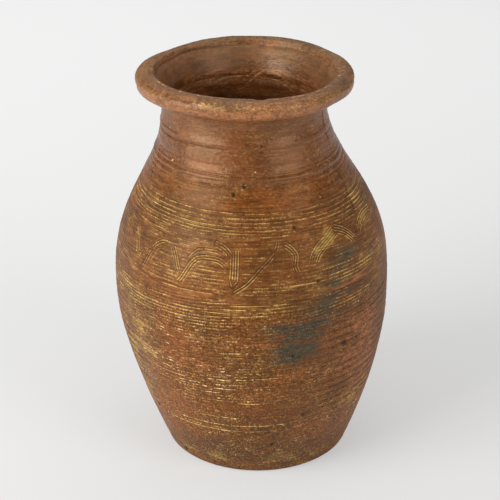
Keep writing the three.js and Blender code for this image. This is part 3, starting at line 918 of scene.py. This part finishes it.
def inside_relief(angle, height):
    """The inside isn't combed: soft finger rings climb it in a spiral, with wipe marks and a scoop's
    scratches. Its colour darkens towards the floor as painted shade."""
    noise = clay_noise_over(angle, height)
    spiral = np.cos(2 * math.pi * (height / INSIDE_RING_PITCH - angle / 360.0))
    soft = 0.45 - 0.31 * soft_step(height, 200, 240)
    relief = soft * spiral + 0.35 * noise(61, 10, 22.0)
    relief = relief + 0.06 * noise(62, 220, 1.6)
    pale = 0.15 * soft_step(noise(65, 200, 0.8), 0.45, 0.9)
    for places, deep in SCRATCHES:
        pick, signed, travelled = drawn_on(angle, height, places, THROAT_RADIUS, 4.0)
        if pick is not None:
            ends = np.clip(np.minimum(travelled, 1 - travelled) / 0.1, 0, 1)
            relief[pick] -= 0.65 * deep * ends * bell(signed, 0.5)
            pale[pick] += 0.36 * ends * bell(signed - 0.7, 0.5)
    masks = masks_for(
        height.shape,
        ochre=0.12 * soft_step(noise(63, 60, 3.0), 0.0, 0.9),
        blush=0.45 * soft_step(height, 240, 262),
        # Painted shade, deeper down inside the pot
        dark=0.45 * soft_step(height, 276, 190) + 0.08 * noise(64, 30, 6.0),
        fill=pale,
        polish=0.3 + 0.9 * blob(angle, height, 160, 262, 14, 6),
        swept=0.85,
    )
    return relief, masks


def wall_ring(name, foot, top, outer_rows, inner_rows, inner_foot=()):
    """A closed ring: up the outside, across the flat top edge, down the inside and across the flat foot. Each
    row is the plain outline moved along its own normal by the relief. Extra rows may shape its inner foot."""
    up = np.linspace(foot, top, outer_rows)[:, None] + 0 * AROUND
    relief, outer_masks = outside_relief(AROUND, up)
    slope = outer_slope(up)
    square = np.sqrt(1 + slope**2)
    outer = shaped_by_hand(outer_radius(up) + relief / square, up - relief * slope / square)
    inner_end = inner_foot[0][1] if len(inner_foot) else foot
    down = np.linspace(top, inner_end, inner_rows)[:, None] + 0 * AROUND
    inner_line = inner_radius(down)
    if len(inner_foot):
        extra = np.array(inner_foot)[1:, :, None] + 0 * AROUND
        inner_line, down = np.vstack([inner_line, extra[:, 0]]), np.vstack([down, extra[:, 1]])
    dent, inner_masks = inside_relief(AROUND, down)
    dent = dent * soft_step(down, BASE_THICKNESS, BASE_THICKNESS + 6)
    dent = dent * soft_step(np.abs(down - UNDERCUT_HEIGHT), 0, 4)
    inner = shaped_by_hand(inner_line - dent, down)
    masks = {key: np.vstack([outer_masks[key], inner_masks[key]]) for key in outer_masks}
    creases = [0, outer_rows - 1, outer_rows, outer_rows + len(inner) - 1]
    return turned_mesh(name, np.concatenate([outer, inner]), masks, creases)


# Heights at which the rings meet
BELLY_RING_FOOT = 74.0
BELLY_RING_TOP = 156.0
NECK_RING_FOOT = 220.0


def floor_fillet(steps=8):
    """A quarter ellipse from the inside of the wall down to the floor."""
    turn = np.linspace(math.pi / 2, 0, steps)
    top = BASE_THICKNESS + FLOOR_FILLET
    edge = inner_radius(BASE_THICKNESS) - FLOOR_FILLET
    radius = edge + (inner_radius(top) - edge) * np.sin(turn)
    height = BASE_THICKNESS + FLOOR_FILLET * (1 - np.cos(turn))
    return np.stack([radius, height], -1)


lower = wall_ring("lower_wall_clay", BASE_THICKNESS, BELLY_RING_FOOT, 128, 14, floor_fillet())
belly = wall_ring("belly_wall_clay", BELLY_RING_FOOT, BELLY_RING_TOP, 138, 16)
shoulder = wall_ring("shoulder_wall_clay", BELLY_RING_TOP, NECK_RING_FOOT, 138, 16)
for ring, node in ((lower, "lower_wall"), (belly, "belly_wall"), (shoulder, "shoulder_wall")):
    fired_on(ring, node, BODY_CLAY)

NECK_CLAY = clay_material(
    "neck_burnished",
    red=(0.152, 0.0445, 0.0098, 1), brown=(0.108, 0.0345, 0.008, 1), dust=(0.42, 0.26, 0.1, 1),
    streaks=0.4, speckle=0.62, grit=0.2, rough=0.49, shine=0.9, tint=(1.0, 0.62, 0.37, 1), grain=0.45,
)
neck = wall_ring("neck_wall_clay", NECK_RING_FOOT, UNDERCUT_HEIGHT, 96, 54)
fired_on(neck, "neck_wall", NECK_CLAY)

# The rolled lip
# The top coil, turned out and down by finger and thumb over a sharp undercut. Hands have worn its edge to the
# ochre clay under the skin; it has small dents, a nick in front and a crack on the right.

RIM_CLAY = clay_material(
    "lip_worn",
    red=(0.246, 0.099, 0.037, 1), brown=(0.168, 0.078, 0.029, 1), dust=(0.47, 0.27, 0.1, 1),
    streaks=0.35, speckle=0.55, grit=0.3, rough=0.42, shine=0.6, tint=(1.0, 0.7, 0.5, 1), grain=0.5,
)

# Corners of the lip's section: radius and height
UNDERCUT_CORNER = (NECK_RADIUS + UNDERCUT_FLARE, UNDERCUT_HEIGHT)
UNDERSIDE_CORNER = (70.0, 268.0)
WIDEST_HEIGHT = 275.0
CREST_RADIUS = 66.5
INNER_EDGE_CORNER = (61.0, 278.0)
CREASE_CORNER = (56.8, 271.5)
THROAT_CORNER = (inner_radius(UNDERCUT_HEIGHT), UNDERCUT_HEIGHT)


def lip_section():
    """Radius and height round the lip's section, from the undercut out along the underside, over the widest
    ring and the crest, and down inside past the crease: two quarter ellipses between four curves."""
    turn = np.linspace(0, math.pi / 2, 30)
    out, up = UNDERSIDE_CORNER
    under = curve_points([UNDERCUT_CORNER, (62, 263.5), (66, 265.5), UNDERSIDE_CORNER], 26)
    edge = np.stack([
        out + (RIM_RADIUS - out) * np.sin(turn),
        up + (WIDEST_HEIGHT - up) * (1 - np.cos(turn)),
    ], -1)
    top = np.stack([
        RIM_RADIUS - (RIM_RADIUS - CREST_RADIUS) * (1 - np.cos(turn)),
        WIDEST_HEIGHT + (POT_HEIGHT - WIDEST_HEIGHT) * np.sin(turn),
    ], -1)
    lip = curve_points([(CREST_RADIUS, POT_HEIGHT), (63.6, POT_HEIGHT), (61.6, 279.7), INNER_EDGE_CORNER], 16)
    inside = curve_points([INNER_EDGE_CORNER, (60.4, 275), (57.5, 274), CREASE_CORNER], 18)
    throat = curve_points([CREASE_CORNER, (55.4, 268.5), (THROAT_CORNER[0] + 1.2, 265.5), THROAT_CORNER], 22)
    return np.vstack([under, edge[1:], top[1:], lip[1:], inside[1:], throat[1:]])


# Walked distances round the section, in millimetres: the widest ring, the inner edge, the crease
WIDEST = 21.7
INNER_EDGE = 37.6
CREASE = 42.0

# Dents: degrees, walked distance, half width, half length, depth in millimetres
LIP_DENTS = [
    (-132, 24, 24, 12, 1.9), (56, 20, 17, 9, 1.3), (-80, 21, 2.2, 3, 1.6), (84, 24, 1.8, 4, 1.6),
    (90, 33, 1.6, 6, 0.9), (9, INNER_EDGE, 3.2, 1.6, 1.3), (-84, INNER_EDGE, 3.6, 2.0, 1.0),
    (-33, 27, 3.5, 3, 0.7), (-27, 30, 2.5, 2, 0.5), (150, 24, 16, 6, 0.6), (-8, 24, 9, 3, 0.35),
    (25, 26, 8, 3, 0.3), (-55, 28, 7, 3, 0.35), (120, 30, 5, 3, 0.5),
]


def lip_colours(walked, angle):
    """Ochre wear along the widest ring in front, dirt on the top, darker spots, painted shade under the lip,
    in the crease and in the crack, and painted highlights along the inner edge, on the crest at the left and
    in the throat at the back.
    """
    noise = clay_noise_over(angle, walked)
    front = 0.55 + 0.45 * np.cos(np.radians(angle))
    worn = 0.7 + 0.5 * noise(74, 70, 2.0) + 0.25 * noise(75, 14, 4.0)
    rightwards = 0.55 + 0.45 * soft_step(angle, -30, 10)
    band = bell(walked - WIDEST - 2.4, 2.6) * worn * (0.3 + 0.7 * front) * rightwards
    # Painted highlight: a pale line along the inner edge, towards the front
    edge = bell(walked - INNER_EDGE + 1.3 + 0.8 * front**2, 0.9) * soft_step(front, 0.2, 0.8)
    top = soft_step(walked, WIDEST + 2, WIDEST + 5) * soft_step(walked, INNER_EDGE, INNER_EDGE - 3)
    # Painted shade under the lip, in the crease at the back left and in the crack
    under = bell(walked, 8.0)
    back_left = soft_step(np.abs(turned_from(angle, -120)), 90, 40)
    waver = 0.8 * clay_noise(77, 24, 400.0, angle, 0 * walked)
    crease = bell(walked - CREASE + waver, 0.8) * back_left
    crack = blob(angle, walked, 84, 27, 0.5, 12)
    inside = soft_step(walked, CREASE - 3, walked[-1:] - 1)
    blotch = soft_step(noise(76, 30, 5.0), 0.0, 0.8)
    # Darker spots on the lip
    dark_spots = 0.6 * blob(angle, walked, -30, 26, 4, 1.6) + 0.35 * blob(angle, walked, 60, 30, 9, 3)
    dark_spots = dark_spots + 0.5 * blob(angle, walked, 178, 28, 24, 7) + 0.3 * blob(angle, walked, -140, 30, 20, 4)
    # The dark mask: blotches on the top, painted shade under the lip, in the crease and the crack, darker
    # spots, and the darker inside
    dark = (0.01 + 0.22 * blotch) * top + 0.5 * under + 0.5 * crease + 0.8 * crack + dark_spots + 0.46 * inside
    # Painted highlight: a pale patch in the throat at the back
    patch = 0.5 * blob(angle, walked, 153, CREASE + 9, 14, 5)
    flecks = 0.24 * top * front
    # Painted highlight on the crest at the left
    painted_glint = 0.35 * blob(angle, walked, -24, 26.5, 6, 1.8)
    dust = flecks + 0.3 * band + 0.36 * edge + painted_glint
    aside = 0.38 * top * (1 - front)
    warm = 0.6 * inside + 0.55 * front * soft_step(walked, WIDEST + 6, WIDEST - 2)
    return 0.34 * band + patch + aside, 0.5 * edge + 0.3 * painted_glint, dark, crease, crack, dust, warm


def rim_coil():
    """The section turned round the pot, moved along its normals by dents, waves and wear."""
    section = lip_section()
    steps = np.gradient(section, axis=0)
    normal = np.stack([steps[:, 1], -steps[:, 0]], -1)
    normal = normal / np.linalg.norm(normal, axis=1, keepdims=True)
    radius, height = section[:, :1] + 0 * AROUND, section[:, 1:] + 0 * AROUND
    legs = np.linalg.norm(np.diff(section, axis=0), axis=1)
    walked = np.concatenate([[0], np.cumsum(legs)])[:, None] + 0 * AROUND
    fade = soft_step(walked, 0, 3) * soft_step(walked[-1:] - walked, 0, 3)
    noise = clay_noise_over(AROUND, walked)
    uneven = 0.4 * noise(71, 14, 9.0) + 0.25 * noise(72, 40, 5.0)
    grain = 0.08 * noise(73, 320, 1.5)
    ochre, cream, dark, crease, crack, dust, blush = lip_colours(walked, AROUND)
    inner = soft_step(walked, CREASE - 1, CREASE + 3)
    scraped, inner_masks = inside_relief(AROUND, height)
    ridge = 0.35 * bell(walked - INNER_EDGE, 0.9)
    relief = uneven + grain + ridge - spots(AROUND, walked, LIP_DENTS) - 0.8 * crease - 0.7 * crack
    relief = (relief * (1 - inner) + inner * (0.6 * uneven + scraped)) * fade
    dust = dust * (1 - inner) + inner * inner_masks["fill"]
    masks = masks_for(
        radius.shape, ochre=ochre, cream=cream, dark=dark, fill=dust, blush=blush,
        polish=0.3 + 0.9 * blob(AROUND, walked, 160, 56, 16, 7), swept=0.2 + 0.7 * inner,
    )
    placed = shaped_by_hand(radius + relief * normal[:, :1], height + relief * normal[:, 1:])
    piece = turned_mesh("rim_coil_clay", placed, masks, [0, len(section) - 1])
    fired_on(piece, "rim_coil", RIM_CLAY)


rim_coil()

# Floor, light and camera
# A pale seamless table under soft light from the left and above, seen from a little above the pot.

FLOOR_SIZE = 12.0
EVENNESS = 0.55
TABLE_NEAR = (0.635, 0.635, 0.626, 1)
TABLE_FAR = (1.21, 1.21, 1.21, 1)


def table_material():
    """A matt pale table. To the camera, more than half of what it shows is painted light: an emission that
    grows brighter towards the back and the left, so that the pot's shadow stays faint."""
    material = bpy.data.materials.new("pale_table")
    material.use_nodes = True
    n = Nodes(material.node_tree)
    shader = material.node_tree.nodes["Principled BSDF"]
    shader.inputs["Base Color"].default_value = (0.88, 0.88, 0.875, 1)
    shader.inputs["Roughness"].default_value = 0.95
    shader.inputs["Specular IOR Level"].default_value = 0.1
    place = n.new("ShaderNodeTexCoord").outputs["Object"]
    across = n.new("ShaderNodeSeparateXYZ", {"Vector": place}).outputs
    left = n.spread(across["X"], -0.5, 0.5, 1.0, 0.0)
    back = n.spread(across["Y"], -0.35, 1.1, 0.0, 1.0)
    # Painted light: the table grows brighter towards the back and the left
    far = n.add(n.times(left, 0.17), n.times(back, 0.75))
    pale = n.mix(far, TABLE_NEAR, TABLE_FAR)
    even = n.new("ShaderNodeEmission", {"Color": pale, "Strength": 1.0})
    seen = n.times(n.new("ShaderNodeLightPath").outputs["Is Camera Ray"], EVENNESS)
    both = n.new("ShaderNodeMixShader", {"Fac": seen})
    n.put(both.inputs[1], shader.outputs[0])
    n.put(both.inputs[2], even.outputs[0])
    n.put(material.node_tree.nodes["Material Output"].inputs["Surface"], both.outputs[0])
    return material


bpy.ops.mesh.primitive_plane_add(size=FLOOR_SIZE, location=(0, 0, 0))
floor = bpy.context.object
floor.name = "floor"
floor.data.materials.append(table_material())

world = bpy.data.worlds.new("studio")
bpy.context.scene.world = world
world.use_nodes = True
world.node_tree.nodes["Background"].inputs["Color"].default_value = (1.0, 1.0, 1.0, 1)
world.node_tree.nodes["Background"].inputs["Strength"].default_value = 0.22


def soft_lamp(name, azimuth, elevation, distance, size, power):
    """A softbox aimed at the pot's middle, azimuth counted from the camera towards the right. Size is its
    width and height."""
    a, e = math.radians(azimuth), math.radians(elevation)
    middle = Vector((0, 0, POT_HEIGHT / 2 * MM))
    away = Vector((math.sin(a) * math.cos(e), -math.cos(a) * math.cos(e), math.sin(e)))
    lamp = bpy.data.lights.new(name, "AREA")
    lamp.shape = "RECTANGLE"
    lamp.size, lamp.size_y = size
    lamp.energy = power
    holder = bpy.data.objects.new(name, lamp)
    holder.location = middle + away * distance
    holder.rotation_mode = "QUATERNION"
    holder.rotation_quaternion = (-away).to_track_quat("-Z", "Y")
    bpy.context.scene.collection.objects.link(holder)


soft_lamp("key_left", azimuth=-56, elevation=24, distance=1.5, size=(1.0, 1.4), power=26)
soft_lamp("overhead", azimuth=-20, elevation=76, distance=1.7, size=(1.2, 1.2), power=3.5)
soft_lamp("top_back", azimuth=165, elevation=60, distance=1.7, size=(1.6, 1.2), power=5)
soft_lamp("fill_right", azimuth=50, elevation=24, distance=1.7, size=(0.9, 1.4), power=12.5)
soft_lamp("edge_right", azimuth=108, elevation=4, distance=1.6, size=(0.6, 1.0), power=1)
soft_lamp("edge_left", azimuth=-108, elevation=-2, distance=1.6, size=(0.6, 0.5), power=1.8)

CAMERA_PLACE = Vector((0.0, -1.05456, 0.64813))
CAMERA_AIM = Vector((-0.00566, 0.0, 0.14334))
CAMERA_LENS = 118.6
CAMERA_ROLL = math.radians(0.19)
lens = bpy.data.cameras.new("camera")
lens.sensor_width = 36.0
lens.lens = CAMERA_LENS
camera = bpy.data.objects.new("camera", lens)
camera.location = CAMERA_PLACE
camera.rotation_mode = "QUATERNION"
look = (CAMERA_AIM - CAMERA_PLACE).to_track_quat("-Z", "Y")
camera.rotation_quaternion = look @ Quaternion((0, 0, 1), CAMERA_ROLL)
bpy.context.scene.collection.objects.link(camera)
bpy.context.scene.camera = camera
bpy.context.scene.view_settings.view_transform = "Standard"
